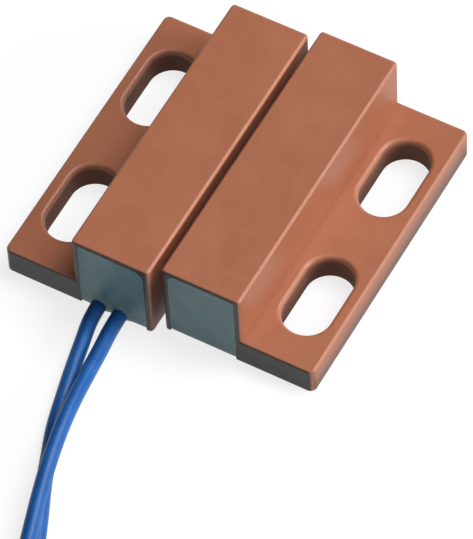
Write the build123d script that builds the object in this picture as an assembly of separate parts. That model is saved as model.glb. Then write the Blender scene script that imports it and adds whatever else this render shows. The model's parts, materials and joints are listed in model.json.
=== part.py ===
from build123d import *
from math import cos, pi, radians, sin, sqrt, tan
import os

# A surface-mounted magnetic door contact: a switch unit and a magnet unit that lie side by side.
# Millimetres. +X runs from the switch unit to the magnet unit, +Y from the wire end to the back,
# +Z up from the mounting surface. The origin is at the bottom centre of the two units together.

# ---- the two moulded units ----
UNIT_LENGTH = 28.0
BLOCK_WIDTH = 7.4
BLOCK_HEIGHT = 8.5
FLANGE_WIDTH = 6.8
FLANGE_THICKNESS = 2.8
UNIT_GAP = 0.7
MAGNET_SETBACK = 0.9
BLOCK_CORNER_RADIUS = 0.35
FLANGE_CORNER_RADIUS = 0.6
EDGE_RADIUS = 0.25
FLANGE_OVERLAP = 1.5

SLOT_WIDTH = 4.4
SLOT_LENGTH = 8.25
SLOT_PITCH = 13.6
SLOT_FROM_EDGE = 3.4
SLOT_RIM_RADIUS = 0.35

# ---- the hollow in each block, open at its front end and at its base, and the resin in it ----
SIDE_WALL = 0.55
TOP_WALL = 0.45
BACK_WALL = 1.2
HOLLOW_INNER_RADIUS = 0.9
HOLLOW_OUTER_RADIUS = 0.35
RESIN_RECESS = 0.2

# ---- the reed switch ----
GLASS_DIAMETER = 2.3
GLASS_LENGTH = 14.0
GLASS_WALL = 0.3
GLASS_SEAL = 2.0
GLASS_END_RADIUS = 0.6
GLASS_FROM_FRONT = 9.45
SLEEVE_WALL = 0.35
SLEEVE_LENGTH = 12.5
REED_WALL_ROOM = 0.6
REED_FROM_BASE = 1.8
LEAD_DIAMETER = 0.5
LEAD_INTO_CAPSULE = 0.4
BLADE_WIDTH = 1.0
BLADE_THICKNESS = 0.2
BLADE_OVERLAP = 1.0
BLADE_ROOT_GAP = 0.03
BLADE_TIP_RADIUS = 0.2
CONTACT_THICKNESS = 0.04
CONTACT_MARGIN = 0.08
CONTACT_GAP = 0.02

# ---- the wires and their soldered joints ----
WIRE_DIAMETER = 1.4
CORE_DIAMETER = 0.6
FRONT_EXIT_FROM_WALL = 3.0
REAR_EXIT_FROM_WALL = 5.05
JOINT_LAP = 2.0
LAP_GAP = 0.06
SOLDER_WALL = 0.07
SOLDER_END = 0.1
SOLDER_END_RADIUS = 0.12
STRIP_GAP = 0.2
SHRINK_WALL = 0.2
SHRINK_FIT = 0.02
SHRINK_OVER_WIRE = 1.0
SHRINK_OVER_LEAD = 0.5
REAR_JOINT_FROM_BASE = 0.85
REAR_JOINT_FROM_SLEEVE = 0.25
REAR_BEND_STRAIGHT = 0.6
REAR_LAP_FROM_GLASS_END = 1.4
SHRINK_FROM_GLASS = 0.7
RISE_START = 1.3
REAR_RISE_END = 4.2
FRONT_RISE_END = 3.75
REAR_RISE_RADIUS = 3.5
FRONT_RISE_RADIUS = 2.3
TINNED_DIAMETER = 0.66
TINNED_LENGTH = 5.0

# ---- the magnet ----
MAGNET_WIDTH = 5.0
MAGNET_HEIGHT = 5.0
MAGNET_LENGTH = 20.0
MAGNET_EDGE_RADIUS = 0.5
MAGNET_GLUE_LINE = 0.3
MAGNET_FROM_BASE = 1.1

# ---- the free wires ----
# They lie on the mounting surface with LYING_ROOM under them. A point is x and y from the switch
# unit's lower front edge at its inner wall, and a lift above the lying wire, in wire diameters.
LYING_ROOM = 0.05
REAR_WIRE_ROUTE = [
    (-REAR_EXIT_FROM_WALL, RESIN_RECESS, 0.0),
    (-REAR_EXIT_FROM_WALL, -1.50, 0.0),
    (-4.45, -4.00, 0.0),
    (-3.80, -6.90, 0.0),
    (-3.05, -9.80, 0.0),
    (-2.30, -12.60, 0.0),
    (-1.25, -15.20, 0.0),
    (-0.25, -17.80, 0.0),
    (1.30, -21.00, 0.0),
    (3.10, -25.20, 0.0),
    (4.75, -30.20, 0.15),
]
FRONT_WIRE_ROUTE = [
    (-FRONT_EXIT_FROM_WALL, RESIN_RECESS, 0.0),
    (-FRONT_EXIT_FROM_WALL, -1.50, 0.0),
    (-2.65, -4.10, 0.1),
    (-2.25, -7.00, 0.45),
    (-1.80, -9.80, 0.85),
    (-1.28, -12.60, 1.1),
    (-0.65, -15.40, 1.15),
    (0.15, -18.40, 1.15),
    (1.35, -22.20, 1.1),
    (2.75, -26.40, 1.05),
    (4.55, -31.00, 1.2),
]
REAR_WIRE_TAIL = [
    (19.60, -41.95, 1.85),
    (22.90, -41.75, 0.8),
    (25.60, -41.90, 0.2),
    (27.60, -42.20, 0.08),
]
FRONT_WIRE_TAIL = [
    (13.20, -43.10, 3.2),
    (17.00, -44.90, 2.1),
    (20.90, -46.00, 0.8),
    (24.20, -46.40, 0.2),
    (26.90, -46.20, 0.08),
]

# ---- the coil that the spare length of both wires is wound into ----
COIL_CENTRE = (14.95, -33.40)
COIL_OUTER_TURN = 9.3
COIL_TURNS = 5.25
COIL_START = 192.0
COIL_LIFT = 0.55
COIL_LAYERS = 4
COIL_EDGE_RADIUS = 0.6
FRONT_WIRE_LEAVES_EARLIER = 45.0
RUN_SHARE = 0.45
OVERCUT = 1.0

# ---- the tie round the coil ----
TIE_ANGLE = 60.0
TIE_WIDTH = 2.4
TIE_THICKNESS = 0.5
TIE_ROOM = 0.2
TIE_UNDER_ROOM = 0.02
TIE_CORNER_RADIUS = 0.9
TIE_HEAD = (2.6, 3.4, 3.6)
TIE_HEAD_RADIUS = 0.4
TIE_STUB = (5.0, 1.6, 0.5)

# ---- places that follow from the sizes above ----
FRONT_Y = -(UNIT_LENGTH + MAGNET_SETBACK) / 2
INNER_X = UNIT_GAP / 2
HOLLOW_WIDTH = BLOCK_WIDTH - 2 * SIDE_WALL
HOLLOW_TOP = BLOCK_HEIGHT - TOP_WALL
RESIN_LENGTH = UNIT_LENGTH - BACK_WALL - RESIN_RECESS

WIRE_RADIUS = WIRE_DIAMETER / 2
LYING_HEIGHT = WIRE_RADIUS + LYING_ROOM
CORE_RADIUS = CORE_DIAMETER / 2
LEAD_RADIUS = LEAD_DIAMETER / 2
GLASS_RADIUS = GLASS_DIAMETER / 2
SLEEVE_RADIUS = GLASS_RADIUS + SLEEVE_WALL

REED_X = -(INNER_X + SIDE_WALL + REED_WALL_ROOM + SLEEVE_RADIUS)
REED_Z = REED_FROM_BASE + SLEEVE_RADIUS
GLASS_FRONT = FRONT_Y + GLASS_FROM_FRONT
GLASS_BACK = GLASS_FRONT + GLASS_LENGTH
REED_Y = (GLASS_FRONT + GLASS_BACK) / 2

LAP_OFFSET = LEAD_RADIUS + CORE_RADIUS + LAP_GAP
SOLDER_RADIUS = LEAD_RADIUS + CORE_RADIUS + LAP_GAP / 2 + SOLDER_WALL
SOLDER_RISE = (LAP_OFFSET + LEAD_RADIUS - CORE_RADIUS) / 2
SHRINK_BORE = (WIRE_RADIUS + SOLDER_RISE + SOLDER_RADIUS) / 2 + SHRINK_FIT
SHRINK_RADIUS = SHRINK_BORE + SHRINK_WALL
SHRINK_RISE = (SOLDER_RISE + SOLDER_RADIUS - WIRE_RADIUS) / 2

REAR_X = -(INNER_X + REAR_EXIT_FROM_WALL)
FRONT_X = -(INNER_X + FRONT_EXIT_FROM_WALL)
REAR_JOINT_Z = REAR_JOINT_FROM_BASE + SHRINK_RADIUS
REAR_CORE_Z = REAR_JOINT_Z - SHRINK_RISE
SLEEVE_TO_JOINT = SLEEVE_RADIUS + REAR_JOINT_FROM_SLEEVE + SHRINK_RADIUS
REAR_CORE_X = REED_X - sqrt(SLEEVE_TO_JOINT**2 - (REED_Z - REAR_JOINT_Z) ** 2)
FRONT_CORE_Z = REED_Z - LAP_OFFSET
RESIN_Y = FRONT_Y + RESIN_RECESS

PITCH = WIRE_DIAMETER
COIL_INNER_TURN = COIL_OUTER_TURN - PITCH * COIL_TURNS / 2
COIL_HEIGHT = COIL_LAYERS * WIRE_DIAMETER


def at_corner(x, y, z):
    """A point given from the switch unit's lower front edge at its inner wall."""
    return Vector(x - INNER_X, y + FRONT_Y, z)


def wire_points(route):
    """A wire's route as points of its centreline."""
    return [at_corner(x, y, LYING_HEIGHT + lift * WIRE_DIAMETER) for x, y, lift in route]


def rod(radius, start, end, x, z):
    """A round bar along Y from start to end."""
    bar = Cylinder(radius, end - start, rotation=(90, 0, 0))
    return Pos(x, (start + end) / 2, z) * bar


def tube(points, radius, radii):
    """A round bar along straight runs that are joined by tangent arcs."""
    path = FilletPolyline(*points, radius=radii)
    section = Plane(origin=path @ 0, z_dir=path % 0) * Circle(radius)
    return sweep(section, path=path), path


def large_radii(points):
    """For each corner, the largest arc that leaves a little of both runs straight."""
    radii = []
    for before, corner, after in zip(points, points[1:], points[2:]):
        arriving, leaving = corner - before, after - corner
        shorter = min(arriving.length, leaving.length)
        turn = radians(arriving.get_angle(leaving))
        radii.append(RUN_SHARE * shorter / tan(turn / 2))
    return radii


# ---- moulded housings ----
def block():
    """The tall half of a unit: inner wall at x = 0, front at y = 0, base at z = 0."""
    shape = Pos(-BLOCK_WIDTH / 2, UNIT_LENGTH / 2, BLOCK_HEIGHT / 2) * Box(
        BLOCK_WIDTH, UNIT_LENGTH, BLOCK_HEIGHT
    )
    shape = fillet(shape.edges().filter_by(Axis.Z), BLOCK_CORNER_RADIUS)
    return fillet(shape.faces().sort_by(Axis.Z)[-1].edges(), EDGE_RADIUS)


def flange():
    """The thin screw flange, which runs on a little way into the block."""
    width = FLANGE_WIDTH + FLANGE_OVERLAP
    centre = Pos(-BLOCK_WIDTH - FLANGE_WIDTH + width / 2, UNIT_LENGTH / 2, FLANGE_THICKNESS / 2)
    shape = centre * Box(width, UNIT_LENGTH, FLANGE_THICKNESS)
    outer = shape.edges().filter_by(Axis.Z).sort_by(Axis.X)[:2]
    shape = fillet(outer, FLANGE_CORNER_RADIUS)
    top = shape.faces().sort_by(Axis.Z)[-1].edges().sort_by(Axis.X)[:-1]
    return fillet(top, EDGE_RADIUS)


def slot_places():
    """The two slot centres, on the middle of the unit's length."""
    x = -BLOCK_WIDTH - FLANGE_WIDTH + SLOT_FROM_EDGE
    return [(x, UNIT_LENGTH / 2 + side * SLOT_PITCH / 2) for side in (-1, 1)]


def hollow(front, length, base):
    """The space inside a block, or a stretch of it, from a base height to its rounded top."""
    height = HOLLOW_TOP - base
    shape = Pos(-BLOCK_WIDTH / 2, front + length / 2, base + height / 2) * Box(
        HOLLOW_WIDTH, length, height
    )
    for radius, place in ((HOLLOW_INNER_RADIUS, -1), (HOLLOW_OUTER_RADIUS, 0)):
        corner = shape.edges().filter_by(Axis.Y).sort_by(Axis.Z)[-2:].sort_by(Axis.X)[place]
        shape = fillet([corner], radius)
    return shape


def resin_fill():
    """The resin that fills a block's hollow, level with its base."""
    return hollow(RESIN_RECESS, RESIN_LENGTH, 0)


def housing():
    """One moulded unit, open at its front end and under its block."""
    shape = block() + flange()
    for x, y in slot_places():
        opening = Rot(0, 0, 90) * SlotOverall(SLOT_LENGTH, SLOT_WIDTH)
        shape -= Pos(x, y, 0) * extrude(opening, amount=FLANGE_THICKNESS)
    # The slots' top rims are the only edges of the flange's top face that lie inside its border.
    margin = SLOT_WIDTH / 2 + SLOT_RIM_RADIUS
    border = FLANGE_CORNER_RADIUS + EDGE_RADIUS
    x_slot = slot_places()[0][0]
    rims = [
        edge
        for edge in shape.edges().filter_by_position(
            Axis.Z, FLANGE_THICKNESS - EDGE_RADIUS / 2, FLANGE_THICKNESS + EDGE_RADIUS / 2
        )
        if abs(edge.center().X - x_slot) < margin
        and border < edge.center().Y < UNIT_LENGTH - border
    ]
    shape = fillet(rims, SLOT_RIM_RADIUS)
    return shape - hollow(-OVERCUT, UNIT_LENGTH - BACK_WALL + OVERCUT, -OVERCUT)


def in_switch_place(shape):
    return Pos(-INNER_X, FRONT_Y, 0) * shape


def in_magnet_place(shape):
    return Pos(INNER_X, FRONT_Y + MAGNET_SETBACK, 0) * mirror(shape, about=Plane.YZ)


# ---- reed switch ----
def glass_capsule():
    """A sealed glass tube with gas inside and a lead through each end."""
    outside = fillet(
        Cylinder(GLASS_RADIUS, GLASS_LENGTH).edges().filter_by(GeomType.CIRCLE), GLASS_END_RADIUS
    )
    bore = GLASS_RADIUS - GLASS_WALL
    inside = fillet(
        Cylinder(bore, GLASS_LENGTH - 2 * GLASS_SEAL).edges().filter_by(GeomType.CIRCLE),
        GLASS_END_RADIUS,
    )
    shape = outside - inside - Cylinder(LEAD_RADIUS, GLASS_LENGTH)
    return Pos(REED_X, REED_Y, REED_Z) * (Rot(90, 0, 0) * shape)


def sleeve_span():
    """Where the soft sleeve starts and ends, evenly about the glass."""
    return REED_Y - SLEEVE_LENGTH / 2, REED_Y + SLEEVE_LENGTH / 2


def buffer_sleeve():
    """A soft tube that keeps the resin from squeezing the glass."""
    outside = rod(SLEEVE_RADIUS, *sleeve_span(), REED_X, REED_Z)
    return outside - rod(GLASS_RADIUS, *sleeve_span(), REED_X, REED_Z)


def front_lead():
    """The straight lead, from its soldered joint to the blade inside the capsule."""
    inside = GLASS_FRONT + GLASS_SEAL + LEAD_INTO_CAPSULE
    return rod(LEAD_RADIUS, front_lap()[0], inside, REED_X, REED_Z)


def front_lap():
    """Where the front lead and its wire's core lie side by side."""
    end = GLASS_FRONT - SHRINK_FROM_GLASS - SHRINK_OVER_LEAD
    return end - JOINT_LAP, end


def rear_lap():
    """Where the turned-back rear lead and its wire's core lie side by side."""
    end = GLASS_BACK - REAR_LAP_FROM_GLASS_END
    return end - JOINT_LAP, end


def rear_lead():
    """The lead that leaves the back of the capsule and turns back beside it."""
    turn_y = GLASS_BACK + REAR_BEND_STRAIGHT
    inside = GLASS_BACK - GLASS_SEAL - LEAD_INTO_CAPSULE
    start = Vector(REED_X, inside, REED_Z)
    out = Vector(REED_X, turn_y, REED_Z)
    back = Vector(REAR_CORE_X, turn_y, REAR_CORE_Z + LAP_OFFSET)
    end = Vector(REAR_CORE_X, rear_lap()[0], REAR_CORE_Z + LAP_OFFSET)
    reach = (out - back).length / 2
    far = (out + back) / 2 + Vector(0, reach, 0)
    path = Line(start, out) + ThreePointArc(out, far, back) + Line(back, end)
    section = Plane(origin=start, z_dir=(0, 1, 0)) * Circle(LEAD_RADIUS)
    return sweep(section, path=path)


def blade_face(side):
    """Height of a blade's contact side: the front blade is the lower one."""
    return REED_Z + side * (CONTACT_GAP / 2 + CONTACT_THICKNESS)


def blade(side):
    """A flat spring blade along Y. side is -1 for the front blade and 1 for the rear one."""
    seal = GLASS_SEAL + LEAD_INTO_CAPSULE + BLADE_ROOT_GAP + BLADE_THICKNESS / 2
    root = GLASS_FRONT + seal if side < 0 else GLASS_BACK - seal
    tip = REED_Y - side * BLADE_OVERLAP / 2
    middle = blade_face(side) + side * BLADE_THICKNESS / 2
    flat = Box(BLADE_WIDTH, abs(tip - root), BLADE_THICKNESS)
    ends = flat.edges().filter_by(Axis.Z).sort_by(Axis.Y)
    flat = fillet(ends[-2:] if side < 0 else ends[:2], BLADE_TIP_RADIUS)
    knuckle = Cylinder(BLADE_THICKNESS / 2, BLADE_WIDTH, rotation=(0, 90, 0))
    shape = Pos(REED_X, (root + tip) / 2, middle) * flat
    return shape + Pos(REED_X, root, middle) * knuckle


def contact(side):
    """The hard plating on a blade's tip, where the two blades meet."""
    width = BLADE_WIDTH - 2 * CONTACT_MARGIN
    length = BLADE_OVERLAP - 2 * CONTACT_MARGIN
    height = REED_Z + side * (CONTACT_GAP + CONTACT_THICKNESS) / 2
    return Pos(REED_X, REED_Y, height) * Box(width, length, CONTACT_THICKNESS)


# ---- the wires inside the switch unit ----
def inner_route(exit_x, core_x, core_z, lap, rise_end):
    """From the resin's face, up to the height of the soldered joint, and straight to it."""
    return [
        Vector(exit_x, RESIN_Y, LYING_HEIGHT),
        Vector(exit_x, FRONT_Y + RISE_START, LYING_HEIGHT),
        Vector(core_x, FRONT_Y + rise_end, core_z),
        Vector(core_x, lap[0] - STRIP_GAP, core_z),
        Vector(core_x, lap[1], core_z),
    ]


REAR_INSIDE = inner_route(REAR_X, REAR_CORE_X, REAR_CORE_Z, rear_lap(), REAR_RISE_END)
FRONT_INSIDE = inner_route(FRONT_X, REED_X, FRONT_CORE_Z, front_lap(), FRONT_RISE_END)


def inner_core(route, radius):
    """The bare conductor, from the resin's face to the end of the soldered joint."""
    return tube(route[:3] + route[4:], CORE_RADIUS, [radius, radius])[0]


def inner_insulation(route, radius, core):
    """The wire's blue covering inside the resin, stripped off short of the joint."""
    return tube(route[:4], WIRE_RADIUS, [radius, radius])[0] - core


def solder(x, core_z, lap, lead, core):
    """A rounded bead of solder round the lead and the core."""
    length = JOINT_LAP - 2 * SOLDER_END
    bead = Cylinder(SOLDER_RADIUS, length, rotation=(90, 0, 0))
    bead = fillet(bead.edges().filter_by(GeomType.CIRCLE), SOLDER_END_RADIUS)
    place = Pos(x, sum(lap) / 2, core_z + SOLDER_RISE)
    return place * bead - lead - core


def shrink_span(lap):
    """How far the heat-shrink sleeve reaches over the wire and over the lead."""
    return lap[0] - SHRINK_OVER_WIRE, lap[1] + SHRINK_OVER_LEAD


def shrink_outside(x, core_z, lap):
    start, end = shrink_span(lap)
    return rod(SHRINK_RADIUS, start, end, x, core_z + SHRINK_RISE)


def heat_shrink(x, core_z, lap):
    start, end = shrink_span(lap)
    bore = rod(SHRINK_BORE, start, end, x, core_z + SHRINK_RISE)
    return shrink_outside(x, core_z, lap) - bore


# ---- the free wires ----
def coil_point(angle, layer):
    """The middle of a turn, angle degrees after the wire joins the coil, on its lower layer
    while it winds inwards and two layers higher while it winds outwards."""
    half = COIL_TURNS * 180
    radius = COIL_INNER_TURN + PITCH * abs(angle - half) / 360
    height = COIL_LIFT + WIRE_RADIUS + layer * WIRE_DIAMETER
    if angle > half:
        height += 2 * WIRE_DIAMETER
    bearing = radians(COIL_START + angle)
    x = COIL_CENTRE[0] + radius * cos(bearing)
    y = COIL_CENTRE[1] + radius * sin(bearing)
    return at_corner(x, y, height)


def tinned_end(path):
    """The stripped, tinned strands at the end of a wire."""
    bar = Pos(0, 0, TINNED_LENGTH / 2) * Cylinder(TINNED_DIAMETER / 2, TINNED_LENGTH)
    far = bar.edges().filter_by(GeomType.CIRCLE).sort_by(Axis.Z)[-1]
    bar = fillet(far, TINNED_DIAMETER / 4)
    return Plane(origin=path @ 1, z_dir=path % 1) * bar


def coil_body():
    """The outer shape of the wound coil, a ring of rounded square section."""
    outer = COIL_OUTER_TURN + WIRE_RADIUS
    inner = COIL_INNER_TURN - WIRE_RADIUS
    ring = Cylinder(outer, COIL_HEIGHT) - Cylinder(inner, COIL_HEIGHT)
    ring = fillet(ring.edges().filter_by(GeomType.CIRCLE), COIL_EDGE_RADIUS)
    centre = at_corner(*COIL_CENTRE, COIL_LIFT + COIL_HEIGHT / 2)
    return Pos(centre) * ring


def coil_tie():
    """A small cable tie: a band round the coil's section, its head, and the cut stub."""
    inner = COIL_INNER_TURN - WIRE_RADIUS - TIE_ROOM
    outer = COIL_OUTER_TURN + WIRE_RADIUS + TIE_ROOM
    low = COIL_LIFT - TIE_UNDER_ROOM
    high = COIL_LIFT + COIL_HEIGHT + TIE_ROOM / 2
    width, height = outer - inner, high - low
    hole = RectangleRounded(width, height, TIE_CORNER_RADIUS - TIE_THICKNESS)
    edge = RectangleRounded(
        width + 2 * TIE_THICKNESS, height + 2 * TIE_THICKNESS, TIE_CORNER_RADIUS
    )
    band = extrude(Plane.XZ * (edge - hole), amount=TIE_WIDTH / 2, both=True)
    head = Box(*TIE_HEAD)
    head = fillet(head.edges(), TIE_HEAD_RADIUS)
    reach = width / 2 + TIE_HEAD[0] / 2
    band += Pos(reach, 0, 0) * head
    stub = Pos(reach + TIE_HEAD[0] / 2, 0, 0) * Box(*TIE_STUB)
    band += stub
    centre = at_corner(*COIL_CENTRE, (low + high) / 2)
    return Pos(centre) * (Rot(0, 0, TIE_ANGLE) * (Pos((inner + outer) / 2, 0, 0) * band))


# ---- the magnet ----
def magnet():
    """A square bar magnet beside the reed, with a thin film of resin round it."""
    x = INNER_X + SIDE_WALL + MAGNET_GLUE_LINE + MAGNET_WIDTH / 2
    z = MAGNET_FROM_BASE + MAGNET_HEIGHT / 2
    bar = Box(MAGNET_WIDTH, MAGNET_LENGTH, MAGNET_HEIGHT)
    bar = fillet(bar.edges().filter_by(Axis.Y), MAGNET_EDGE_RADIUS)
    return Pos(x, REED_Y, z) * bar


def reed_pieces():
    """The reed switch: its glass, soft sleeve, leads, blades and contacts."""
    parts = {
        "reed_glass": glass_capsule(),
        "reed_sleeve": buffer_sleeve(),
        "reed_lead_front": front_lead(),
        "reed_lead_rear": rear_lead(),
    }
    for name, side in (("front", -1), ("rear", 1)):
        parts[f"reed_blade_{name}"] = blade(side)
        parts[f"reed_contact_{name}"] = contact(side)
    return parts


def switch_pieces():
    """The switch unit: its housing, the reed switch, the soldered wires and the resin."""
    parts = {"switch_housing": in_switch_place(housing())}
    parts |= reed_pieces()
    filled = [
        rod(SLEEVE_RADIUS, *sleeve_span(), REED_X, REED_Z),
        rod(GLASS_RADIUS, GLASS_FRONT, GLASS_BACK, REED_X, REED_Z),
    ]
    joints = {
        "front": (REED_X, FRONT_CORE_Z, front_lap(), FRONT_INSIDE, FRONT_RISE_RADIUS),
        "rear": (REAR_CORE_X, REAR_CORE_Z, rear_lap(), REAR_INSIDE, REAR_RISE_RADIUS),
    }
    for name, (x, core_z, lap, route, radius) in joints.items():
        lead = parts[f"reed_lead_{name}"]
        core = inner_core(route, radius)
        covering = inner_insulation(route, radius, core)
        parts[f"wire_{name}_core"] = core
        parts[f"wire_{name}_inside"] = covering
        parts[f"solder_{name}"] = solder(x, core_z, lap, lead, core)
        parts[f"heat_shrink_{name}"] = heat_shrink(x, core_z, lap)
        filled += [core, covering, lead, shrink_outside(x, core_z, lap)]
    resin = in_switch_place(resin_fill())
    for piece in filled:
        resin -= piece
    parts["switch_potting"] = resin
    return parts


def magnet_pieces():
    """The magnet unit: its housing, the bar magnet and the resin."""
    bar = magnet()
    resin = in_magnet_place(resin_fill()) - bar
    return {
        "magnet_housing": in_magnet_place(housing()),
        "magnet_bar": bar,
        "magnet_potting": resin,
    }


def wire_pieces():
    """The two free wires, the coil of their spare length, and its tie."""
    whole = COIL_TURNS * 360
    wires = {
        "rear": (REAR_WIRE_ROUTE, REAR_WIRE_TAIL, 0, whole),
        "front": (FRONT_WIRE_ROUTE, FRONT_WIRE_TAIL, 1, whole - FRONT_WIRE_LEAVES_EARLIER),
    }
    parts = {}
    for name, (route, tail_route, layer, end) in wires.items():
        lines = {
            "run": wire_points(route) + [coil_point(0, layer)],
            "tail": [coil_point(end, layer)] + wire_points(tail_route),
        }
        for stretch, points in lines.items():
            radii = large_radii(points)
            solid, path = tube(points, WIRE_RADIUS, radii)
            parts[f"wire_{name}_{stretch}"] = solid
            share = solid.volume / (pi * WIRE_RADIUS**2 * path.length)
            print(name, stretch, "length", round(path.length, 2), "volume share", round(share, 4))
            print("  arc radii", [round(r, 1) for r in radii])
        parts[f"wire_{name}_tip"] = tinned_end(path)
    parts["wire_coil"] = coil_body()
    parts["wire_tie"] = coil_tie()
    return parts


def main():
    os.makedirs("parts", exist_ok=True)
    for name, shape in (switch_pieces() | magnet_pieces() | wire_pieces()).items():
        export_step(shape, f"parts/{name}.step")


main()
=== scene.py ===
"""A surface-mounted magnetic door contact: a wired reed switch unit and a magnet unit, side by side.

Everything is in metres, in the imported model's own frame: +X from the switch unit to the magnet unit,
+Y from the wire end to the back, +Z up from the mounting surface.
"""
import json
from math import cos, pi, radians, sin

import bmesh
import bpy
import numpy as np
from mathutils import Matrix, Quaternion, Vector


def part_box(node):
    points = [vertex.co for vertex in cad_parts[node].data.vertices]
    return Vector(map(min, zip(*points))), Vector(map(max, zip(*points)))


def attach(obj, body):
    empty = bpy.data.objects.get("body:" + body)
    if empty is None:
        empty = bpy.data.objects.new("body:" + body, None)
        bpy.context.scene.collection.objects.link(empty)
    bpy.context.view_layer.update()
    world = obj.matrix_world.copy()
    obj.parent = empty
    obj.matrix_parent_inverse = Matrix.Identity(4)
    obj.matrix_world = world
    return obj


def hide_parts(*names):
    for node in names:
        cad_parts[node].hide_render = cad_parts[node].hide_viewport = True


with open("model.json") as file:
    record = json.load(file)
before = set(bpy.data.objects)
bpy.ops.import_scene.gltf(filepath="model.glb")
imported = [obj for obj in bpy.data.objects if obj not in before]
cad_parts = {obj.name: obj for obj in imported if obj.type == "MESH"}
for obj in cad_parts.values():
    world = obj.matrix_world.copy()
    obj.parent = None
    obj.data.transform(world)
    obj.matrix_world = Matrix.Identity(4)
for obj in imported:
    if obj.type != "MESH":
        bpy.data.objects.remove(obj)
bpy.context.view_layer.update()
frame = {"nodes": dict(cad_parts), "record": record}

MM = 0.001

# ---- the view: bearings count from the front round by the right, in degrees ----
VIEW_TURN = 31.695
VIEW_HEIGHT = 55.36
VIEW_ROLL = -3.42
VIEW_DISTANCE = 0.4763
VIEW_AIM = (2.82 * MM, -5.58 * MM, 0.0)
LENS = 376.6
SENSOR = 36.0
CLIP = (0.01, 20.0)

# ---- floor and light ----
FLOOR_HALF = 2.0
FLOOR_DROP = 0.01 * MM
FLOOR_GREYS = (0.24, 0.27)
FLOOR_GLOW = 0.78
SURROUND = 0.03
LIGHT_DISTANCE = 0.9
LIGHTS = {
    "top_light": {"turn": 142.0, "height": 59.0, "size": 0.6, "power": 7.6},
    "side_light": {"turn": 102.0, "height": 18.0, "size": 0.3, "power": 6.6},
    "front_light": {"turn": 10.0, "height": 24.0, "size": 0.7, "power": 1.75},
}

# ---- the two free wires: the same points as the part's routes ----
# A point is x and y from the switch unit's front corner at its inner wall, and a lift off the floor
# in wire diameters.
WIRE_DIAMETER = 1.4 * MM
LYING_ROOM = 0.05 * MM
REAR_WIRE_ROUTE = [
    (-0.00505, 0.00020, 0.0),
    (-0.00505, -0.00150, 0.0),
    (-0.00445, -0.00400, 0.0),
    (-0.00380, -0.00690, 0.0),
    (-0.00305, -0.00980, 0.0),
    (-0.00230, -0.01260, 0.0),
    (-0.00125, -0.01520, 0.0),
    (-0.00025, -0.01780, 0.0),
    (0.00130, -0.02100, 0.0),
    (0.00310, -0.02520, 0.0),
    (0.00475, -0.03020, 0.15),
]
FRONT_WIRE_ROUTE = [
    (-0.00300, 0.00020, 0.0),
    (-0.00300, -0.00150, 0.0),
    (-0.00265, -0.00410, 0.1),
    (-0.00225, -0.00700, 0.45),
    (-0.00180, -0.00980, 0.85),
    (-0.00128, -0.01260, 1.1),
    (-0.00065, -0.01540, 1.15),
    (0.00015, -0.01840, 1.15),
    (0.00135, -0.02220, 1.1),
    (0.00275, -0.02640, 1.05),
    (0.00455, -0.03100, 1.2),
]
REAR_WIRE_TAIL = [
    (0.01960, -0.04195, 1.85),
    (0.02290, -0.04175, 0.8),
    (0.02560, -0.04190, 0.2),
    (0.02760, -0.04220, 0.08),
]
FRONT_WIRE_TAIL = [
    (0.01320, -0.04310, 3.2),
    (0.01700, -0.04490, 2.1),
    (0.02090, -0.04600, 0.8),
    (0.02420, -0.04640, 0.2),
    (0.02690, -0.04620, 0.08),
]
COIL_CENTRE = (0.01495, -0.03340)
COIL_OUTER_TURN = 9.3 * MM
COIL_TURNS = 5.25
COIL_INNER_TURN = COIL_OUTER_TURN - WIRE_DIAMETER * COIL_TURNS / 2
COIL_START = 192.0
COIL_LIFT = 0.55 * MM
COIL_POINTS_PER_TURN = 16
COIL_CLIMB = 90.0
FRONT_WIRE_LEAVES_EARLIER = 45.0
WIRE_ROUND_STEPS = 5
WIRE_LONG_STEPS = 8

# ---- the two units: mirror images, whose inner walls face each other ----
SIDES = {"switch": -1, "magnet": 1}
housing_low, housing_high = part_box("switch_housing")
CORNER = (housing_high.x, housing_low.y, housing_low.z)
UNIT_WIDTH = housing_high.x - housing_low.x
BLOCK_HEIGHT = housing_high.z - housing_low.z
BLOCK_WIDTH = 7.4 * MM
FLANGE_THICKNESS = 2.8 * MM
SLOT_RADIUS = 2.2 * MM
SLOT_HALF_STRAIGHT = 1.925 * MM
SLOT_HALF_PITCH = 6.8 * MM
SLOT_FROM_EDGE = 3.4 * MM


# ---- shader maths ----
# A Mix node has a set of sockets for each kind of data under the same names: these are a colour's.
MIX_SHARE, MIX_FIRST, MIX_SECOND, MIX_RESULT = 0, 6, 7, 2


class Value:
    """A shader socket that ordinary arithmetic works on: each operation adds a Math node."""

    def __init__(self, graph, socket):
        self.graph, self.socket = graph, socket

    def __add__(self, other):
        return self.graph.maths("ADD", self, other)

    def __sub__(self, other):
        return self.graph.maths("SUBTRACT", self, other)

    def __mul__(self, other):
        return self.graph.maths("MULTIPLY", self, other)

    def __pow__(self, other):
        return self.graph.maths("POWER", self, other)

    def __lt__(self, other):
        return self.graph.maths("LESS_THAN", self, other)

    def __gt__(self, other):
        return self.graph.maths("GREATER_THAN", self, other)

    def __radd__(self, other):
        return self.graph.maths("ADD", other, self)

    def __rsub__(self, other):
        return self.graph.maths("SUBTRACT", other, self)

    def __rmul__(self, other):
        return self.graph.maths("MULTIPLY", other, self)

    def __abs__(self):
        return self.graph.maths("ABSOLUTE", self)


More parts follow.
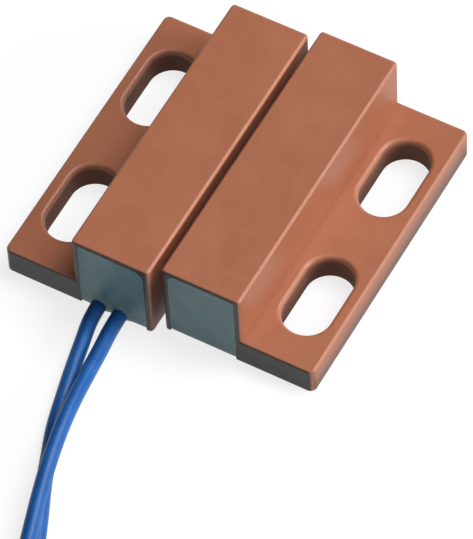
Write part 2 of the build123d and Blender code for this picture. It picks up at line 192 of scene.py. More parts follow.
class Graph:
    """One material's node tree."""

    def __init__(self, name):
        self.material = bpy.data.materials.new(name)
        self.material.use_nodes = True
        self.tree = self.material.node_tree
        self.tree.nodes.clear()
        self.place = self.node("TexCoord").outputs["Object"]

    def node(self, kind, settings=None, inputs=None):
        """Adds a node: its settings first, then the values or links of its sockets."""
        made = self.tree.nodes.new("ShaderNode" + kind)
        for name, value in (settings or {}).items():
            setattr(made, name, value)
        for name, value in (inputs or {}).items():
            self.feed(made.inputs[name], value)
        return made

    def feed(self, socket, value):
        """Links a socket to a value's own, or sets it to a number, a vector or a colour."""
        if isinstance(value, Value):
            value = value.socket
        if isinstance(value, bpy.types.NodeSocket):
            self.tree.links.new(value, socket)
        else:
            socket.default_value = value

    def maths(self, operation, *values):
        made = self.node("Math", {"operation": operation}, dict(enumerate(values)))
        return Value(self, made.outputs[0])

    def least(self, a, b):
        return self.maths("MINIMUM", a, b)

    def most(self, a, b):
        return self.maths("MAXIMUM", a, b)

    def fade(self, value, start, end):
        """0 up to start and 1 past end, with a smooth step between them."""
        settings = {"interpolation_type": "SMOOTHSTEP"}
        inputs = {"Value": value, "From Min": start, "From Max": end}
        return Value(self, self.node("MapRange", settings, inputs).outputs["Result"])

    def axes(self):
        """The object coordinates as three values."""
        parts = self.node("SeparateXYZ", inputs={"Vector": self.place}).outputs
        return [Value(self, parts[name]) for name in "XYZ"]

    def stretched(self, scale):
        """The object coordinates, scaled differently along each axis."""
        return self.node("Mapping", inputs={"Vector": self.place, "Scale": scale}).outputs[0]

    def noise(self, scale, detail, roughness, distortion=0.0):
        """Cloudy noise. The scale is a number, or three for a pattern that is drawn out."""
        place = self.place
        if isinstance(scale, tuple):
            place, scale = self.stretched(scale), 1.0
        inputs = {
            "Vector": place,
            "Scale": scale,
            "Detail": detail,
            "Roughness": roughness,
            "Distortion": distortion,
        }
        return Value(self, self.node("TexNoise", inputs=inputs).outputs[0])

    def spots(self, scale, start, end):
        """Scattered round spots: 1 up to start from a spot's middle, 0 past end, in spot spacings."""
        inputs = {"Vector": self.place, "Scale": scale}
        cells = self.node("TexVoronoi", {"feature": "F1"}, inputs)
        return 1.0 - self.fade(Value(self, cells.outputs["Distance"]), start, end)

    def blend(self, share, first, second):
        """The first colour, turning into the second as share goes from 0 to 1."""
        made = self.node("Mix", {"data_type": "RGBA"})
        self.feed(made.inputs[MIX_SHARE], share)
        self.feed(made.inputs[MIX_FIRST], first)
        self.feed(made.inputs[MIX_SECOND], second)
        return made.outputs[MIX_RESULT]

    def layered(self, body, layers):
        """A colour with others laid over it in turn, each by its own share."""
        for share, tint in layers:
            body = self.blend(share, body, tint)
        return body

    def bump(self, height, distance, under=None):
        """A normal from a height, on top of another normal if one is given."""
        inputs = {"Height": height, "Distance": distance}
        if under is not None:
            inputs["Normal"] = under
        return self.node("Bump", inputs=inputs).outputs[0]

    def finish(self, **inputs):
        """The Principled shader, with the named sockets set or linked."""
        shader = self.node("BsdfPrincipled")
        for name, value in inputs.items():
            self.feed(shader.inputs[name.replace("_", " ")], value)
        self.node("OutputMaterial", inputs={"Surface": shader.outputs[0]})
        return self.material


def colour(red, green, blue):
    """A screen colour, 0 to 255 each, as the linear colour that a shader takes."""
    shares = [value / 255 for value in (red, green, blue)]
    return [s / 12.92 if s <= 0.04045 else ((s + 0.055) / 1.055) ** 2.4 for s in shares] + [1.0]


# ---- the brown plastic: the distances that its wear, painted highlight and painted shade fade over, and how far they wander ----
# Painted highlight joins the wear along the edges; the foot, the low outer side, the front end and the
# slot walls take painted shade.
WORN_HIGHLIT_EDGE, WORN_HIGHLIT_WANDER = (0.05 * MM, 0.38 * MM), 0.25 * MM
FOOT_SHADE, FOOT_SHADE_WANDER = (0.1 * MM, 0.55 * MM), 0.3 * MM
LOW_SHADE, LOW_SHADE_WANDER = (0.0, 2.6 * MM), 1.2 * MM
FRONT_SHADE = (0.02 * MM, 0.12 * MM)
SLOT_SHADE = (0.2 * MM, 0.9 * MM)
NEAR_SLOT_WALL = 0.1 * MM
NEAR_OUTER_SIDE = 0.08 * MM
PAST_BLOCK = 0.03 * MM
ABOVE_BASE = 0.02 * MM
PLASTIC_WAVE_DEPTH = 0.04 * MM
PLASTIC_GRAIN_DEPTH = 0.012 * MM

# ---- the resin, the wires' vinyl and the glass ----
# The resin's low part is painted shade towards its base.
RESIN_LOW_SHADE, RESIN_WANDER = (0.0, 2.4 * MM), 2.0 * MM
RESIN_UNEVENNESS = 0.05 * MM
BUBBLE_DEPTH = 0.02 * MM
VINYL_UNEVENNESS = 0.02 * MM
GLASS_LINE_DEPTH = 0.01 * MM

# ---- the plainer finishes: two colours, roughness, scale and grain depth ----
GRAIN_FINER = 8
MOTTLED_PLASTICS = {
    "soft_sleeve": (colour(222, 222, 214), colour(204, 206, 200), 0.5, 600.0, 0.01 * MM),
    "heat_shrink": (colour(26, 26, 28), colour(40, 40, 42), 0.42, 900.0, 0.015 * MM),
    "tie_nylon": (colour(232, 230, 218), colour(218, 214, 200), 0.36, 500.0, 0.01 * MM),
}

# ---- the metals: colour, roughness, depth of the scratches and scale of the grain ----
TARNISH = 0.72
METALS = {
    "reed_alloy": (colour(214, 212, 206), 0.2, 0.004 * MM, (9000.0, 300.0, 9000.0)),
    "contact_plating": (colour(226, 226, 230), 0.1, 0.001 * MM, (4000.0, 4000.0, 4000.0)),
    "solder": (colour(204, 206, 208), 0.18, 0.01 * MM, (900.0, 900.0, 900.0)),
    "copper_strands": (colour(206, 132, 92), 0.22, 0.02 * MM, (9000.0, 600.0, 9000.0)),
    "magnet_alloy": (colour(132, 132, 134), 0.4, 0.01 * MM, (400.0, 6000.0, 6000.0)),
    "tinned_strands": (colour(206, 208, 210), 0.22, 0.01 * MM, (3000.0, 3000.0, 3000.0)),
}


# ---- materials ----
def edge_distances(graph, node, side):
    """How far a point of a housing is from its nearest outside edge, and from the foot of the block;
    whether it is on the flange's outer side, and how deep it is in a slot.

    On a box's surface one of the three distances to its faces is nought, and the middle one is the
    distance to the nearest edge. A slot's rim is a stadium: its distance is taken in the plane.
    """
    low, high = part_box(node)
    x, y, z = graph.axes()
    inner = high.x if side < 0 else low.x
    out = (x - inner) * side
    ahead = graph.least(y - low.y, high.y - y)

    def middle(a, b, c):
        highest = graph.most(graph.most(a, b), c)
        lowest = graph.least(graph.least(a, b), c)
        return a + b + c - highest - lowest

    above = z > FLANGE_THICKNESS
    across = graph.least(out, BLOCK_WIDTH - out + (1.0 - above))
    block = middle(graph.most(across, 0.0), ahead, BLOCK_HEIGHT - z)
    flange = middle(UNIT_WIDTH - out, ahead, graph.least(z, FLANGE_THICKNESS - z))
    in_flange = out > BLOCK_WIDTH + PAST_BLOCK
    box_edge = block * (1.0 - in_flange) + flange * in_flange

    along = abs(abs(y - (low.y + high.y) / 2) - SLOT_HALF_PITCH)
    past = graph.most(along - SLOT_HALF_STRAIGHT, 0.0)
    aside = out - (UNIT_WIDTH - SLOT_FROM_EDGE)
    rim = abs((past * past + aside * aside) ** 0.5 - SLOT_RADIUS)
    slot_edge = graph.most(rim, abs(FLANGE_THICKNESS - z))
    foot = graph.most(abs(out - BLOCK_WIDTH), abs(z - FLANGE_THICKNESS))
    outer_side = UNIT_WIDTH - out < NEAR_OUTER_SIDE
    depth = graph.fade(FLANGE_THICKNESS - z, *SLOT_SHADE)
    # How deep a point is in a slot, near its wall: the share of painted shade on the slot walls.
    in_slot = depth * (rim < NEAR_SLOT_WALL) * (z > ABOVE_BASE)
    return graph.least(box_edge, slot_edge), foot, outer_side, in_slot


def brown_plastic(name, node, side):
    """Satin brown moulding compound: faint mottling, fine grain and specks, edges lighter with wear and
    painted highlight, painted shade at the block's foot and on the slot walls, and a dark painted shade
    on the front end and low on the outer side.
    """
    graph = Graph(name)
    edge, foot, outer_side, in_slot = edge_distances(graph, node, side)
    _, y, z = graph.axes()
    clouds = graph.noise(190.0, 4.0, 0.6, distortion=0.4)
    blotches = graph.noise(700.0, 3.0, 0.55)
    streaks = graph.noise((900.0, 130.0, 900.0), 3.0, 0.6)
    # Lighter edges: part wear, part painted highlight along every edge.
    worn_and_highlit = 1.0 - graph.fade(edge + (blotches - 0.5) * WORN_HIGHLIT_WANDER, *WORN_HIGHLIT_EDGE)
    # Painted shade in the crease where the block meets the flange.
    foot_shade = 1.0 - graph.fade(foot + (blotches - 0.5) * FOOT_SHADE_WANDER, *FOOT_SHADE)
    # Painted shade: the front end is made dark, and a dark cool shade is painted low on the flange's
    # outer side.
    front = 1.0 - graph.fade(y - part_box(node)[0].y, *FRONT_SHADE)
    low_shade = 1.0 - graph.fade(z + (clouds - 0.5) * LOW_SHADE_WANDER, *LOW_SHADE)
    plain = graph.blend(graph.fade(clouds, 0.3, 0.7), colour(161, 97, 67), colour(167, 102, 72))
    painted_shade = front * 0.98 + (1.0 - front) * (low_shade * 0.75 * outer_side)
    layers = [
        (graph.fade(blotches, 0.45, 0.75) * 0.3, colour(172, 102, 76)),
        (graph.fade(streaks, 0.5, 0.8) * 0.2, colour(155, 96, 70)),
        (worn_and_highlit * 0.4, colour(190, 132, 108)),
        (foot_shade * 0.16, colour(104, 64, 50)),
        (painted_shade, colour(22, 30, 32)),
        # Painted shade on the slot walls, darker deeper down the slot.
        (in_slot * (0.5 + blotches * 0.3), colour(58, 26, 16)),
        (graph.spots(1500.0, 0.06, 0.12) * 0.3, colour(120, 78, 62)),
    ]
    waves = graph.bump(graph.noise(420.0, 2.0, 0.5), PLASTIC_WAVE_DEPTH)
    return graph.finish(
        Base_Color=graph.layered(plain, layers),
        Roughness=0.44 + (clouds - 0.5) * 0.2 - worn_and_highlit * 0.08 + in_slot * 0.3,
        Normal=graph.bump(graph.noise(9000.0, 2.0, 0.6), PLASTIC_GRAIN_DEPTH, under=waves),
        Specular_IOR_Level=0.42,
    )


def potting_resin(name):
    """Cast grey-green epoxy: cloudy, with painted shade low down, and tiny bubbles in a slightly uneven
    face.
    """
    graph = Graph(name)
    z = graph.axes()[2]
    clouds = graph.noise(330.0, 4.0, 0.6, distortion=0.6)
    patches = graph.noise(700.0, 3.0, 0.6)
    bubbles = graph.spots(1100.0, 0.07, 0.15)
    # Painted shade, darker towards the resin's base.
    low_shade = 1.0 - graph.fade(z + (clouds - 0.5) * RESIN_WANDER, *RESIN_LOW_SHADE)
    plain = graph.blend(graph.fade(clouds, 0.3, 0.7), colour(104, 146, 152), colour(126, 160, 163))
    layers = [
        (graph.fade(patches, 0.5, 0.72) * 0.4, colour(142, 142, 132)),
        (low_shade * 0.35, colour(96, 104, 104)),
        (bubbles * 0.35, colour(160, 175, 176)),
    ]
    uneven = graph.bump(graph.noise(900.0, 3.0, 0.6), RESIN_UNEVENNESS)
    return graph.finish(
        Base_Color=graph.layered(plain, layers),
        Roughness=0.44 + clouds * 0.14,
        Normal=graph.bump(bubbles, BUBBLE_DEPTH, under=uneven),
        Specular_IOR_Level=0.55,
    )


def wire_covering(name):
    """Soft blue vinyl: satin, faintly uneven, with lighter scuffs."""
    graph = Graph(name)
    clouds = graph.noise(260.0, 3.0, 0.55)
    scuffs = graph.fade(graph.noise(1500.0, 4.0, 0.7), 0.56, 0.74)
    plain = graph.blend(graph.fade(clouds, 0.3, 0.7), colour(16, 80, 150), colour(26, 94, 166))
    return graph.finish(
        Base_Color=graph.blend(scuffs * 0.3, plain, colour(62, 112, 170)),
        Roughness=0.4 + scuffs * 0.14,
        Normal=graph.bump(graph.noise(2600.0, 3.0, 0.6), VINYL_UNEVENNESS),
        Specular_IOR_Level=0.4,
    )


def metal(name, tint, roughness, scratch_depth, grain):
    """Bright metal: a tint that darkens in clouds, drawn or ground lines, and uneven polish."""
    graph = Graph(name)
    clouds = graph.noise(900.0, 3.0, 0.6)
    lines = graph.noise(grain, 3.0, 0.6)
    darker = [channel * TARNISH for channel in tint[:3]] + [1.0]
    return graph.finish(
        Base_Color=graph.blend(graph.fade(clouds, 0.35, 0.75) * 0.6, tint, darker),
        Metallic=1.0,
        Roughness=roughness + lines * 0.15,
        Normal=graph.bump(lines, scratch_depth),
    )


def mottled_plastic(name, first, second, roughness, scale, grain_depth):
    """A plain soft or glossy plastic that is mottled between two close colours."""
    graph = Graph(name)
    clouds = graph.noise(scale, 4.0, 0.6)
    grain = graph.noise(scale * GRAIN_FINER, 2.0, 0.5)
    return graph.finish(
        Base_Color=graph.blend(graph.fade(clouds, 0.35, 0.68), first, second),
        Roughness=roughness + (clouds - 0.5) * 0.15,
        Normal=graph.bump(grain, grain_depth),
    )


def reed_glass(name):
    """Clear soft glass with a green tint and faint drawing lines."""
    graph = Graph(name)
    lines = graph.noise((2500.0, 120.0, 2500.0), 2.0, 0.5)
    return graph.finish(
        Base_Color=graph.blend(lines, colour(206, 232, 214), colour(188, 222, 200)),
        Transmission_Weight=1.0,
        IOR=1.5,
        Roughness=0.03 + lines * 0.04,
        Normal=graph.bump(lines, GLASS_LINE_DEPTH),
    )


def make_materials():
    """The finish of each material slot but the brown plastic, which each housing has its own of."""
    made = {}
    for maker in (potting_resin, wire_covering, reed_glass):
        made[maker.__name__] = maker(maker.__name__)
    for name, look in MOTTLED_PLASTICS.items():
        made[name] = mottled_plastic(name, *look)
    for name, look in METALS.items():
        made[name] = metal(name, *look)
    return made


def paint(piece, material):
    """Gives every material slot of a piece, or its first one, this material."""
    if not piece.material_slots:
        piece.data.materials.append(material)
    for holder in piece.material_slots:
        holder.material = material


def paint_cad_nodes(materials):
    """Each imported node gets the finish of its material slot; each housing has its own edges."""
    for part in frame["record"]["subparts"]:
        node, slot = part["node"], part["material_slot"]
        if slot == "brown_plastic":
            side = SIDES[node.removesuffix("_housing")]
            paint(frame["nodes"][node], brown_plastic(f"{slot}_{node}", node, side))
        else:
            paint(frame["nodes"][node], materials[slot])


# ---- the free wires ----
def smooth_step(share):
    """A share held between 0 and 1 and eased at both ends: three of its square less two of its cube."""
    share = np.clip(share, 0.0, 1.0)
    return share * share * (3 - 2 * share)


def at_corner(x, y, height):
    """A point given from the switch unit's lower front edge at its inner wall."""
    return Vector((CORNER[0] + x, CORNER[1] + y, CORNER[2] + height))


def wire_points(route):
    """A route's points, each raised by half a wire so that a lift of nought lies on the floor."""
    lying = WIRE_DIAMETER / 2 + LYING_ROOM
    return [at_corner(x, y, lying + lift * WIRE_DIAMETER) for x, y, lift in route]


def coil_point(angle, layer):
    """A control point of a turn, angle degrees after the wire joins the coil.

    The turns wind inwards on one layer, climb two layers near the middle, and wind out again.
    A control point stands outside the turn that it makes, by one over the cosine of half a step.
    """
    half = COIL_TURNS * 360 / 2
    radius = COIL_INNER_TURN + WIRE_DIAMETER * abs(angle - half) / 360
    radius /= cos(pi / COIL_POINTS_PER_TURN)
    climb = 2 * smooth_step((angle - half) / COIL_CLIMB + 0.5)
    height = COIL_LIFT + WIRE_DIAMETER * (0.5 + layer + climb)
    bearing = radians(COIL_START + angle)
    x, y = COIL_CENTRE
    return at_corner(x + radius * cos(bearing), y + radius * sin(bearing), height)


def coil_turns(layer, end):
    """The coil's control points at equal steps, and one where the wire leaves it at the end angle."""
    step = 360 / COIL_POINTS_PER_TURN
    count = int(end / step)
    return [coil_point(index * step, layer) for index in range(count)] + [coil_point(end, layer)]


def cord_curve(name, points):
    """A round wire along one smooth spline with these control points."""
    data = bpy.data.curves.new(name, "CURVE")
    data.dimensions = "3D"
    data.bevel_depth = WIRE_DIAMETER / 2
    data.bevel_resolution = WIRE_ROUND_STEPS
    data.resolution_u = WIRE_LONG_STEPS
    data.use_fill_caps = True
    spline = data.splines.new("NURBS")
    spline.points.add(len(points) - 1)
    for holder, point in zip(spline.points, points):
        holder.co = (*point, 1.0)
    spline.order_u = 3
    spline.use_endpoint_u = True
    piece = bpy.data.objects.new(name, data)
    bpy.context.scene.collection.objects.link(piece)
    return piece


def make_wires(materials):
    """The two free wires, each with its coil turns, from the resin's face to its bare end."""
    whole = COIL_TURNS * 360
    wires = {
        "rear": (REAR_WIRE_ROUTE, REAR_WIRE_TAIL, 0, whole, ("wire_coil",)),
        "front": (FRONT_WIRE_ROUTE, FRONT_WIRE_TAIL, 1, whole - FRONT_WIRE_LEAVES_EARLIER, ()),
    }
    tie = make_tie(materials)
    for name, (route, tail, layer, end, also) in wires.items():
        points = wire_points(route) + coil_turns(layer, end) + wire_points(tail)
        tip = bare_end(f"strands_{name}", points, materials)
        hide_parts(f"wire_{name}_tip")
        piece = cord_curve(f"wire_{name}", points)
        paint(piece, materials["wire_covering"])
        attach(piece, "switch_unit")
        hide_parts(f"wire_{name}_run", f"wire_{name}_tail", *also)


# ---- surfaces ----
MERGE_DISTANCE = 0.002 * MM


def surface(name, sheets, materials, slot, body="switch_unit"):
    """One piece from grids of points, each (points, closed across, closed along).

    A grid is an array of rows of points. Neighbouring points make quads, and a closed side joins its
    last row or column to its first. Points that meet are merged, so that the piece is closed, and the
    faces are then turned outwards.
    """
    vertices, faces, first = [], [], 0
    for points, closed_across, closed_along in sheets:
        rows, columns = points.shape[:2]
        index = first + np.arange(rows * columns).reshape(rows, columns)
        if closed_along:
            index = np.concatenate([index, index[:1]], axis=0)
        if closed_across:
            index = np.concatenate([index, index[:, :1]], axis=1)
        corners = (index[:-1, :-1], index[:-1, 1:], index[1:, 1:], index[1:, :-1])
        faces.append(np.stack(corners, axis=-1).reshape(-1, 4))
        vertices.append(points.reshape(-1, 3))
        first += rows * columns
    mesh = bpy.data.meshes.new(name)
    mesh.from_pydata(np.concatenate(vertices).tolist(), [], np.concatenate(faces).tolist())
    work = bmesh.new()
    work.from_mesh(mesh)
    bmesh.ops.remove_doubles(work, verts=work.verts, dist=MERGE_DISTANCE)
    bmesh.ops.recalc_face_normals(work, faces=work.faces)
    work.to_mesh(mesh)
    work.free()
    mesh.shade_smooth()
    piece = bpy.data.objects.new(name, mesh)
    bpy.context.scene.collection.objects.link(piece)
    paint(piece, materials[slot])
    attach(piece, body)
    return piece


def frame_of(direction):
    """This direction at unit length, and two more that are square to it and to each other."""
    ahead = np.array(direction, float)
    ahead /= np.linalg.norm(ahead)
    across = np.cross((0.0, 0.0, 1.0), ahead)
    across /= np.linalg.norm(across)
    return ahead, across, np.cross(ahead, across)


def round_turn(count):
    """Equal angles once round, without the last, which is the first again."""
    return np.linspace(0.0, 2 * pi, count + 1)[:-1]


def capped(rings):
    """Rings of points, with a further ring at each end that is drawn together at its middle."""
    ends = [np.broadcast_to(rings[row].mean(axis=0), rings[row].shape)[None] for row in (0, -1)]
    return np.concatenate([ends[0], rings, ends[1]])


# ---- the resin's faces ----
WALL = 0.55 * MM
TOP_WALL = 0.45 * MM
INNER_TOP_RADIUS = 0.9 * MM
OUTER_TOP_RADIUS = 0.35 * MM
RESIN_RISE = 0.13 * MM
RESIN_CREEP = 0.32 * MM
RESIN_WAVES = 0.05 * MM
COLLAR_RISE = 0.3 * MM
COLLAR_REACH = 0.28 * MM
SKIN_STANDS_OUT = 0.01 * MM
SKIN_DEPTH = 0.1 * MM
SKIN_STEPS = 96
# The waves' rates across and up, in radians per metre.
LONG_WAVES = (900.0, 700.0)
SHORT_WAVES = (1900.0, 1300.0)
WAVE_START = 2.0


def resin_face(unit, exits, materials):
    """The resin's outer skin: nearly flat, creeping up the walls and round the wires.

    A point at shares u across and v up lies at x between the two walls, which come together over the
    two rounded top corners by the circle's formula. It stands out from the resin by a rise that fades
    exponentially with the distance from the walls, by another with the distance from each wire's
    covering, and by slow sine waves. All but the wires' collars fade out at the level base.
    """
    side = SIDES[unit]
    low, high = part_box(f"{unit}_housing")
    face_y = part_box(f"{unit}_potting")[0].y
    wall_x = high.x if side < 0 else low.x
    inner, outer = wall_x + side * WALL, wall_x + side * (BLOCK_WIDTH - WALL)
    top = BLOCK_HEIGHT - TOP_WALL
    steps = 0.5 - 0.5 * np.cos(pi * np.linspace(0.0, 1.0, SKIN_STEPS))
    across, height = np.meshgrid(steps, steps * top)

    def pulled_in(radius):
        past = np.clip(height - (top - radius), 0.0, radius)
        return radius - np.sqrt(radius**2 - past**2)

    start = inner + side * pulled_in(INNER_TOP_RADIUS)
    end = outer - side * pulled_in(OUTER_TOP_RADIUS)
    x = start + (end - start) * across
    to_wall = np.minimum(np.minimum(abs(x - start), abs(end - x)), top - height)
    long_waves = np.sin(LONG_WAVES[0] * x + WAVE_START) * np.sin(LONG_WAVES[1] * height)
    short_waves = np.sin(SHORT_WAVES[0] * x + SHORT_WAVES[1] * height)
    rise = RESIN_RISE * np.exp(-to_wall / RESIN_CREEP)
    rise += RESIN_WAVES * (2 + long_waves + short_waves) / 4
    rise *= smooth_step(height / RESIN_CREEP / 2)
    for wire_x in exits:
        gap = np.hypot(x - wire_x, height - WIRE_DIAMETER / 2 - LYING_ROOM) - WIRE_DIAMETER / 2
        rise += COLLAR_RISE * np.exp(-np.clip(gap, 0.0, None) / COLLAR_REACH)
    front = np.stack([x, face_y - SKIN_STANDS_OUT - rise, height], axis=-1)
    back = np.stack([x, np.full_like(x, face_y + SKIN_DEPTH), height], axis=-1)
    rims = [(front[0], back[0]), (front[-1], back[-1])]
    rims += [(front[:, 0], back[:, 0]), (front[:, -1], back[:, -1])]
    sheets = [(sheet, False, False) for sheet in (front, back, *map(np.stack, rims))]
    surface(f"resin_face_{unit}", sheets, materials, "potting_resin", f"{unit}_unit")


# ---- the bare ends ----
TIN_RADIUS = 0.33 * MM
TIN_LENGTH = 5.0 * MM
TIN_INSIDE = 0.04
STRAND_COUNT = 6
STRAND_RADIUS = 0.115 * MM
STRAND_TURNS = 1.25
STRAND_STEPS = 72
STRAND_SIDES = 14
CORE_GAP = 1.55 * STRAND_RADIUS
TIP_LENGTH = 1.4 * STRAND_RADIUS
TIP_LEAST = 0.001
TIP_DRAWS_IN = 0.25


def bare_end(name, points, materials):
    """The twisted strands of a stripped and tinned end: a core, and six strands wound round it.

    A strand's middle is a helix about the wire's own direction, and a circle is carried along it. The
    radius falls to nearly nought over a quarter circle at each strand's tip, where the helix draws in.
    The strands start a little inside the wire's covering.
    """
    start, before = np.array(points[-1]), np.array(points[-2])
    ahead, across, up = frame_of(start - before)
    share = np.linspace(0.0, 1.0, STRAND_STEPS)
    along = (share * (1 + TIN_INSIDE) - TIN_INSIDE) * TIN_LENGTH
    to_tip = np.clip((TIN_LENGTH - along) / TIP_LENGTH, 0.0, 1.0)
    swell = np.sqrt(1.0 - (1.0 - to_tip) ** 2) + TIP_LEAST
    turn = round_turn(STRAND_SIDES)
    ring = np.cos(turn)[:, None] * across + np.sin(turn)[:, None] * up

    def strand(radius, lean, phase):
        angle = phase + 2 * pi * STRAND_TURNS * share
        reach = (lean * (1 - TIP_DRAWS_IN + TIP_DRAWS_IN * swell))[:, None]
        middle = start + along[:, None] * ahead
        middle = middle + reach * (np.cos(angle)[:, None] * across + np.sin(angle)[:, None] * up)
        return middle[:, None] + (radius * swell)[:, None, None] * ring[None]

    strands = [strand(TIN_RADIUS - CORE_GAP, 0.0, 0.0)]
    for phase in round_turn(STRAND_COUNT):
        strands.append(strand(STRAND_RADIUS, TIN_RADIUS - STRAND_RADIUS, phase))
    sheets = [(capped(rings), True, False) for rings in strands]
    return surface(name, sheets, materials, "tinned_strands")


# ---- the cable tie ----
COIL_LAYERS = 4
TIE_ANGLE = 60.0
TIE_WIDTH = 2.4 * MM
TIE_THICKNESS = 0.5 * MM
TIE_EDGE_RADIUS = 0.18 * MM
TIE_ROOM = 0.2 * MM
BAND_CORNER = 0.9 * MM
BAND_STEPS = 160
SECTION_STEPS = 28
HEAD_LENGTH = 2.6 * MM
HEAD_WIDTH = 3.4 * MM
HEAD_HEIGHT = 3.6 * MM
HEAD_CORNER = 0.5 * MM
HEAD_STEPS = 96
HEAD_SECTION_STEPS = 40
HEAD_SQUARENESS = 0.3
EYE_WIDTH = TIE_WIDTH + 0.15 * MM
EYE_HEIGHT = TIE_THICKNESS + 0.2 * MM
EYE_CORNER = 0.2 * MM
STUB_LENGTH = 1.2 * MM
STUB_STEPS = 90
STUB_THINNER, STUB_NARROWER = 0.9, 0.95
STUB_TEETH = 30
TOOTH_HEIGHT = 0.06 * MM
CUT_SHARE = 1 / 60
CUT_THICKNESS, CUT_WIDTH = 0.15, 0.8


def rounded_loop(width, height, corner, count):
    """Points and outward directions round a rectangle with round corners, at equal steps along it.

    A point is the nearest corner's centre, or a place on the straight line between two of them, plus
    the corner's radius along the outward direction, which turns only on the corners.
    """
    straight = np.array([height - 2 * corner, width - 2 * corner] * 2)
    arc = pi / 2 * corner
    ends = np.cumsum(np.stack([straight, np.full(4, arc)], axis=1).reshape(-1))
    at = np.linspace(0.0, ends[-1], count + 1)[:-1]
    knots = np.concatenate([[0.0], ends])
    turn = np.interp(at, knots, pi / 2 * np.array([0, 0, 1, 1, 2, 2, 3, 3, 4]))
    w, h = width / 2 - corner, height / 2 - corner
    middle_x = np.interp(at, knots, [w, w, w, -w, -w, -w, -w, w, w])
    middle_y = np.interp(at, knots, [-h, h, h, h, h, -h, -h, -h, -h])
    out = np.stack([np.cos(turn), np.sin(turn)], axis=-1)
    return np.stack([middle_x, middle_y], axis=-1) + corner * out, out


def tie_room():
    """How far out from the coil's centre, and how high, the turns let the band's inner face lie."""
    outer_turn = COIL_OUTER_TURN - WIRE_DIAMETER * ((TIE_ANGLE - COIL_START) % 360) / 360
    inside = COIL_INNER_TURN - WIRE_DIAMETER / 2 - TIE_ROOM / 2
    outside = outer_turn + WIRE_DIAMETER / 2 + TIE_ROOM / 2
    base = COIL_LIFT - TIE_ROOM / 10
    top = COIL_LIFT + COIL_LAYERS * WIRE_DIAMETER + TIE_ROOM / 2
    return inside, outside, base, top


def tie_band(inside, outside, base, top):
    """A flat section with round edges, carried round a rectangle with round corners."""
    width, height = outside - inside + TIE_THICKNESS, top - base + TIE_THICKNESS
    line, outward = rounded_loop(width, height, BAND_CORNER, BAND_STEPS)
    section, _ = rounded_loop(TIE_WIDTH, TIE_THICKNESS, TIE_EDGE_RADIUS, SECTION_STEPS)
    along = (inside + outside) / 2 + line[:, :1] + outward[:, :1] * section[:, 1]
    high = line[:, 1:] + outward[:, 1:] * section[:, 1]
    return along, section[:, 0], high


def tie_head(outside):
    """A block with an eye through it: rings between the eye's outline and the block's own.

    Round the wall's section, the depth and the share from the eye to the outside are the sine and the
    cosine, each raised to a low power, which makes a circle nearly square.
    """
    outline, _ = rounded_loop(HEAD_WIDTH, HEAD_HEIGHT, HEAD_CORNER, HEAD_STEPS)
    eye, _ = rounded_loop(EYE_WIDTH, EYE_HEIGHT, EYE_CORNER, HEAD_STEPS)
    turn = round_turn(HEAD_SECTION_STEPS)
    depth = np.sign(np.sin(turn)) * abs(np.sin(turn)) ** HEAD_SQUARENESS
    share = 0.5 + 0.5 * np.sign(np.cos(turn)) * abs(np.cos(turn)) ** HEAD_SQUARENESS
    rings = eye[None] + (outline - eye)[None] * share[:, None, None]
    middle = outside + TIE_THICKNESS + HEAD_LENGTH / 2
    return middle + depth[:, None] * HEAD_LENGTH / 2, rings[..., 0], rings[..., 1]


def tie_stub(outside):
    """A flat section carried straight out through the eye, with fine teeth on top, to its cut end.

    A tooth rises steadily and drops. Close to the cut, thickness and width shrink as the square root
    of the distance to it.
    """
    section, _ = rounded_loop(TIE_WIDTH, TIE_THICKNESS, TIE_EDGE_RADIUS, SECTION_STEPS)
    steps = np.linspace(0.0, 1.0, STUB_STEPS)[:, None]
    cut = np.clip((1.0 - steps) / CUT_SHARE, 0.0, 1.0) ** 0.5
    teeth = TOOTH_HEIGHT * (steps * STUB_TEETH % 1.0) * np.where(section[:, 1] > 0, 1.0, 0.0)
    high = section[:, 1] * STUB_THINNER * (CUT_THICKNESS + (1 - CUT_THICKNESS) * cut) + teeth * cut
    wide = section[:, 0] * STUB_NARROWER * (CUT_WIDTH + (1 - CUT_WIDTH) * cut)
    return outside + steps * (HEAD_LENGTH + STUB_LENGTH), wide, high


def make_tie(materials):
    """A small cable tie round the coil: its band, a head with an eye through it, and the cut stub.

    Each is worked out as distances out from the coil's centre, round it, and up from the tie's middle.
    """
    inside, outside, base, top = tie_room()
    bearing = radians(TIE_ANGLE)
    middle = np.array(at_corner(*COIL_CENTRE, (base + top) / 2))
    out = np.array((cos(bearing), sin(bearing), 0.0))
    aside = np.array((-sin(bearing), cos(bearing), 0.0))
    up = np.array((0.0, 0.0, 1.0))

    def placed(distances):
        parts = np.broadcast_arrays(*distances)
        return middle + sum(part[..., None] * way for part, way in zip(parts, (out, aside, up)))

    sheets = [
        (placed(tie_band(inside, outside, base, top)), True, True),
        (placed(tie_head(outside)), True, True),
        (capped(placed(tie_stub(outside))), True, False),
    ]
    tie = surface("cable_tie", sheets, materials, "tie_nylon")
    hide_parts("wire_tie")
    return tie


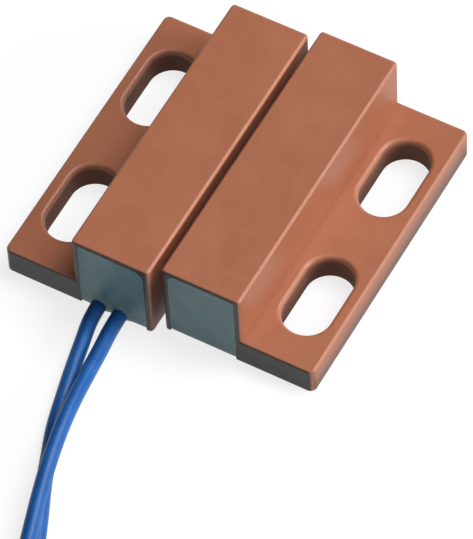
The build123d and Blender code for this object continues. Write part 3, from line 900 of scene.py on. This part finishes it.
# ---- floor, light and camera ----
def make_floor():
    """A wide pale floor that the two units and the wires lie on.

    It glows a little, which keeps the soft shadows on it pale, and throws no light up at the object.
    """
    corners = [(-FLOOR_HALF, -FLOOR_HALF), (FLOOR_HALF, -FLOOR_HALF)]
    corners += [(FLOOR_HALF, FLOOR_HALF), (-FLOOR_HALF, FLOOR_HALF)]
    mesh = bpy.data.meshes.new("floor")
    mesh.from_pydata([(x, y, -FLOOR_DROP) for x, y in corners], [], [(0, 1, 2, 3)])
    floor = bpy.data.objects.new("floor", mesh)
    bpy.context.scene.collection.objects.link(floor)
    floor.visible_diffuse = False
    graph = Graph("pale_floor")
    clouds = graph.noise(6.0, 2.0, 0.5)
    body = graph.blend(clouds, *[(grey, grey, grey, 1.0) for grey in FLOOR_GREYS])
    paint(
        floor,
        graph.finish(
            Base_Color=body,
            Roughness=0.9,
            Specular_IOR_Level=0.0,
            Emission_Color=(1.0, 1.0, 1.0, 1.0),
            Emission_Strength=FLOOR_GLOW,
        ),
    )


def direction_to(turn, height):
    """The direction toward a bearing and a height, both in degrees."""
    turn, height = radians(turn), radians(height)
    return Vector((sin(turn) * cos(height), -cos(turn) * cos(height), sin(height)))


def area_light(name, turn, height, size, power):
    """A square soft light that faces the origin from a bearing and a height."""
    data = bpy.data.lights.new(name, "AREA")
    data.size, data.energy = size, power
    light = bpy.data.objects.new(name, data)
    back = direction_to(turn, height)
    light.location = back * LIGHT_DISTANCE
    light.rotation_mode = "QUATERNION"
    light.rotation_quaternion = (-back).to_track_quat("-Z", "Y")
    bpy.context.scene.collection.objects.link(light)


def make_light():
    """A broad light from above and behind, a low one from the right, and a weak one in front.

    The surround is white to the camera and faint to everything else.
    """
    for name, values in LIGHTS.items():
        area_light(name, **values)
    world = bpy.data.worlds.new("surround")
    bpy.context.scene.world = world
    world.use_nodes = True
    tree = world.node_tree
    surround = tree.nodes["Background"]
    surround.inputs["Color"].default_value = (1.0, 1.0, 1.0, 1.0)
    path = tree.nodes.new("ShaderNodeLightPath")
    strength = tree.nodes.new("ShaderNodeMath")
    strength.operation = "MAXIMUM"
    strength.inputs[1].default_value = SURROUND
    tree.links.new(path.outputs["Is Camera Ray"], strength.inputs[0])
    tree.links.new(strength.outputs[0], surround.inputs["Strength"])
    bpy.context.scene.view_settings.view_transform = "Standard"


def make_camera():
    """A long lens that looks down on the units from their front right."""
    back = direction_to(VIEW_TURN, VIEW_HEIGHT)
    data = bpy.data.cameras.new("camera")
    data.lens, data.sensor_width = LENS, SENSOR
    data.clip_start, data.clip_end = CLIP
    camera = bpy.data.objects.new("camera", data)
    camera.location = Vector(VIEW_AIM) + back * VIEW_DISTANCE
    camera.rotation_mode = "QUATERNION"
    facing = (-back).to_track_quat("-Z", "Y")
    camera.rotation_quaternion = facing @ Quaternion((0, 0, 1), radians(VIEW_ROLL))
    bpy.context.scene.collection.objects.link(camera)
    bpy.context.scene.camera = camera


make_camera()
materials = make_materials()
paint_cad_nodes(materials)
make_wires(materials)
exits = [at_corner(*route[0][:2], 0.0).x for route in (REAR_WIRE_ROUTE, FRONT_WIRE_ROUTE)]
resin_face("switch", exits, materials)
resin_face("magnet", [], materials)
make_floor()
make_light()
